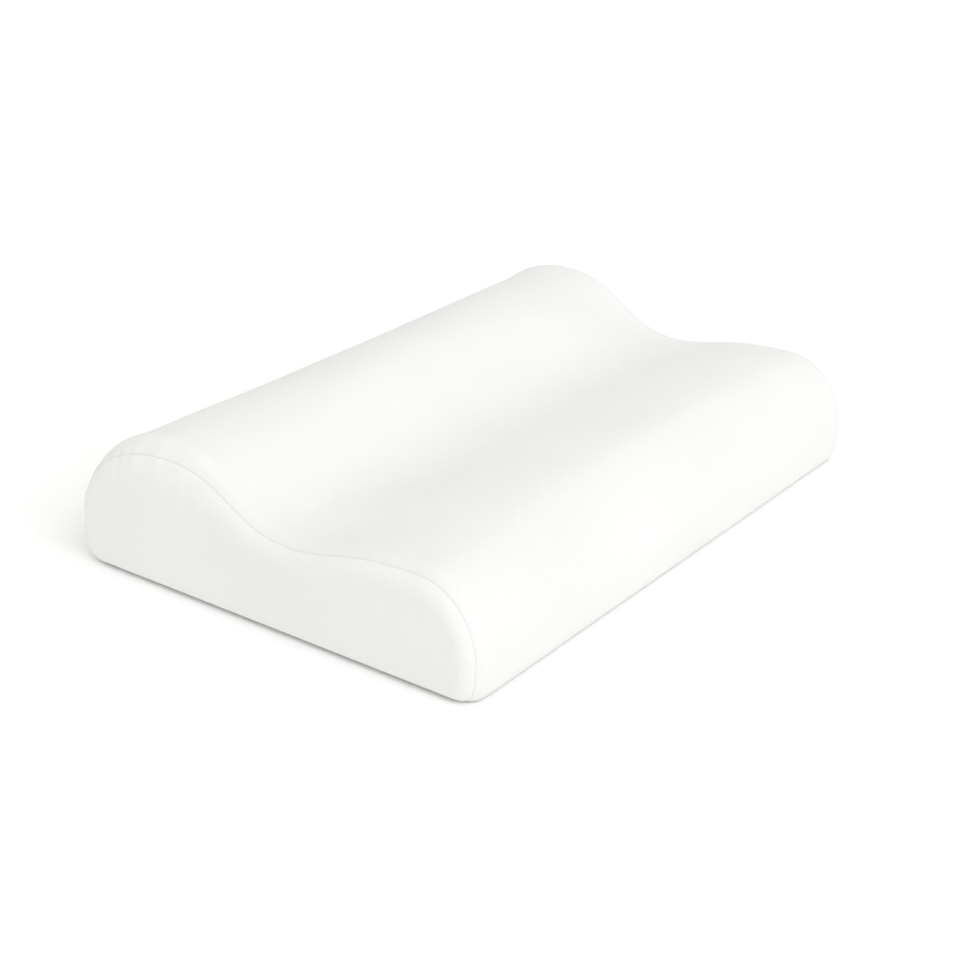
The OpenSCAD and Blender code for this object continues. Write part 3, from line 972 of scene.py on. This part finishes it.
def add_zip(materials):
    thread = materials["thread"]
    for side, word, phase in ((1, "upper", 0.0), (-1, "lower", 0.5)):
        add_tape(side, f"zip_tape_{word}", materials["tape"])
        coil = tube(f"zip_coil_{word}_wire", [coil_path(side, phase)], WIRE_RADIUS, 8, materials["coil"])
        finish_piece(coil, "pillow", "zip_coil", f"zip_coil_{word}")
        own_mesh(coil)
        rows = []
        for out in (1.55 * MM, 2.35 * MM):
            x = np.arange(COIL_LOW.x + 0.5 * MM, COIL_HIGH.x - 0.5 * MM, 0.25 * MM)
            turn = 2 * math.pi * (x - COIL_LOW.x - phase * COIL_PITCH) / COIL_PITCH
            y = BACK_Y - 0.16 * MM - 0.25 * MM * (0.5 - 0.5 * np.cos(turn))
            rows.append(np.column_stack([x, y, np.full(len(x), ZIP_Z + side * out)]))
        stitches = tube(f"coil_stitching_{word}", rows, STITCHING_RADIUS, 6, thread)
        finish_piece(stitches, "pillow", "zip_tape")
    for name, body in (("zip_slider", "slider"), ("zip_pull_tab", "pull_tab"),
                       ("zip_top_stops", "pillow"), ("zip_bottom_stop", "pillow")):
        finish_piece(cast_copy(name, materials["metal"]), body, "zip_metal", name)


def cast_copy(name, material):
    """The CAD part with the rounded edges of a die casting."""
    mesh = nodes[name].data.copy()
    piece = bpy.data.objects.new(name + "_cast", mesh)
    bpy.context.scene.collection.objects.link(piece)
    mesh.materials.clear()
    mesh.materials.append(material)
    shape = bmesh.new()
    shape.from_mesh(mesh)
    worn = shape.faces.layers.float.new("worn")
    bmesh.ops.remove_doubles(shape, verts=shape.verts, dist=0.002 * MM)
    bmesh.ops.dissolve_limit(shape, angle_limit=math.radians(1), verts=shape.verts, edges=shape.edges)
    sharp = [e for e in shape.edges if len(e.link_faces) == 2 and e.calc_face_angle(0) > math.radians(35)]
    bevel = bmesh.ops.bevel(shape, geom=sharp, offset=METAL_ROUNDING, segments=2, profile=0.6,
                            affect="EDGES", clamp_overlap=True)
    for face in bevel["faces"]:
        face[worn] = 1.0
    for face in shape.faces:
        face.smooth = face.calc_area() < WIDE_FACE
    shape.to_mesh(mesh)
    shape.free()
    mesh.set_sharp_from_angle(angle=math.radians(40))
    return piece


class BackWall:
    """Finds how far out the cover's back wall lies at a place in X and Z."""

    def __init__(self, layer):
        points = layer.outer[:-2]
        height = points[:, 2]
        points = points[(points[:, 1] > BACK_Y - 4 * MM) & (height > 10 * MM) & (height < 60 * MM)]
        self.depths = points[:, 1]
        self.tree = KDTree(len(points))
        for number, (x, _, z) in enumerate(points):
            self.tree.insert((x, 0, z), number)
        self.tree.balance()

    def y(self, x, z):
        found = self.tree.find_n((x, 0, z), 3)
        return float(np.mean([self.depths[number] for _, number, _ in found]))


def add_topstitching(layer, material):
    """Rows of stitches along both hems of the zip and across its ends."""
    wall = BackWall(layer)
    length, gap, rows = TOPSTITCH_LENGTH, TOPSTITCH_GAP, []
    for side in (-1, 1):
        z = ZIP_Z + side * (SLOT_HALF + STITCH_INSET)
        for x in np.arange(-SLOT_END + gap, SLOT_END - length, length + gap):
            rows.append(stitch(wall, (x, z), (x + length, z)))
    for end in (-1, 1):
        x = end * (SLOT_END + STITCH_INSET)
        for z in np.arange(ZIP_Z - SLOT_HALF - STITCH_INSET, ZIP_Z + SLOT_HALF, length + gap):
            rows.append(stitch(wall, (x, z), (x, z + length)))
    piece = tube("topstitching", rows, TOPSTITCH_RADIUS, 8, material)
    finish_piece(piece, "pillow", "cover_fabric")


def stitch(wall, start, end):
    """One stitch, which dips into the cloth at both ends."""
    t = np.linspace(0, 1, 7)
    surface = wall.y((start[0] + end[0]) / 2, (start[1] + end[1]) / 2)
    y = surface + 0.14 * MM - 0.45 * MM * (2 * t - 1) ** 4
    return np.column_stack([start[0] + (end[0] - start[0]) * t, y, start[1] + (end[1] - start[1]) * t])


def add_label(material):
    """Satin label folded in two, with its ends in the closing seam beside the zip."""
    width, drop = LABEL_HIGH.x - LABEL_LOW.x, LABEL_HIGH.z - LABEL_LOW.z
    fold, thickness = 0.42 * MM, 0.14 * MM
    down = np.linspace(0, 1, 40)
    turn = np.linspace(0, math.pi, 9)[1:-1]
    straight_drop = drop - fold
    z = np.concatenate([-straight_drop * down, -straight_drop - fold * np.sin(turn),
                        -straight_drop * down[::-1]])
    gap = np.concatenate([np.zeros(40), fold * (1 - np.cos(turn)), np.full(40, 2 * fold)])
    gap[47:] *= np.clip(0.25 + down[::-1] * 3, 0, 1)
    flex = (-z / drop) ** 2
    xs = np.linspace(0, 1, 34)
    points = np.zeros((len(xs), len(z), 3))
    for i, share in enumerate(xs):
        curl = (0.9 + 1.3 * share ** 2 + 0.35 * math.sin(5.2 * share)) * MM
        points[i, :, 0] = LABEL_LOW.x + width * share
        points[i, :, 1] = BACK_Y - 0.5 * MM + 0.7 * MM * np.clip(-z / (2 * MM), 0, 1) + gap + curl * flex
        points[i, :, 2] = LABEL_HIGH.z + z + 0.25 * MM * flex * math.sin(3 * share)
    du = np.gradient(points, axis=0)
    dv = np.gradient(points, axis=1)
    normals = np.cross(du, dv)
    normals /= np.linalg.norm(normals, axis=2, keepdims=True)
    rows, columns = points.shape[:2]
    i, j = np.meshgrid(np.arange(rows - 1), np.arange(columns - 1), indexing="ij")
    a = (i * columns + j).ravel()
    faces = [np.column_stack([a, a + columns, a + columns + 1, a + 1])]
    outer = (points + normals * thickness / 2).reshape(-1, 3)
    inner = (points - normals * thickness / 2).reshape(-1, 3)
    piece, _ = shell("care_label_satin", outer, inner, faces, material)
    finish_piece(piece, "pillow", "label_satin", "care_label")


# ---- The whole ----

def main():
    make_camera()
    make_studio()
    white = knit_material("cover_fabric", (0.872, 0.872, 0.863), (0.85, 0.85, 0.838), 1.2 * MM,
                          0.24 * MM, 0.15)
    jersey = knit_material("liner_fabric", (0.82, 0.82, 0.80), (0.78, 0.78, 0.76), 0.8 * MM, 0.08 * MM, 0.1)
    materials = {"tape": tape_material(), "coil": nylon_material(), "metal": enamel_material(),
                 "thread": thread_material()}
    crown = Crown()
    cover = Layer(crown, 0.0, BACK_Y, COVER_THICKNESS, (3 * MM, 1.2 * MM, 0.7 * MM), True,
                  (-SLOT_END, SLOT_END))
    add_panels(cover, {"top": "cover_top_panel", "base": "cover_base_panel", "left": "cover_left_end_panel",
                       "right": "cover_right_end_panel", "under": "foam_core"}, white, "cover_fabric")
    liner = Layer(crown, 2.0 * MM, LINER_BACK_Y, 0.8 * MM, (6 * MM, 5 * MM, 4 * MM))
    add_panels(liner, {"wrap": "liner_wrap", "left": "liner_left_end", "right": "liner_right_end",
                       "under": "foam_core"}, jersey, "liner_fabric")
    add_core(crown, foam_material())
    add_zip(materials)
    add_topstitching(cover, materials["thread"])
    add_label(satin_material())


main()
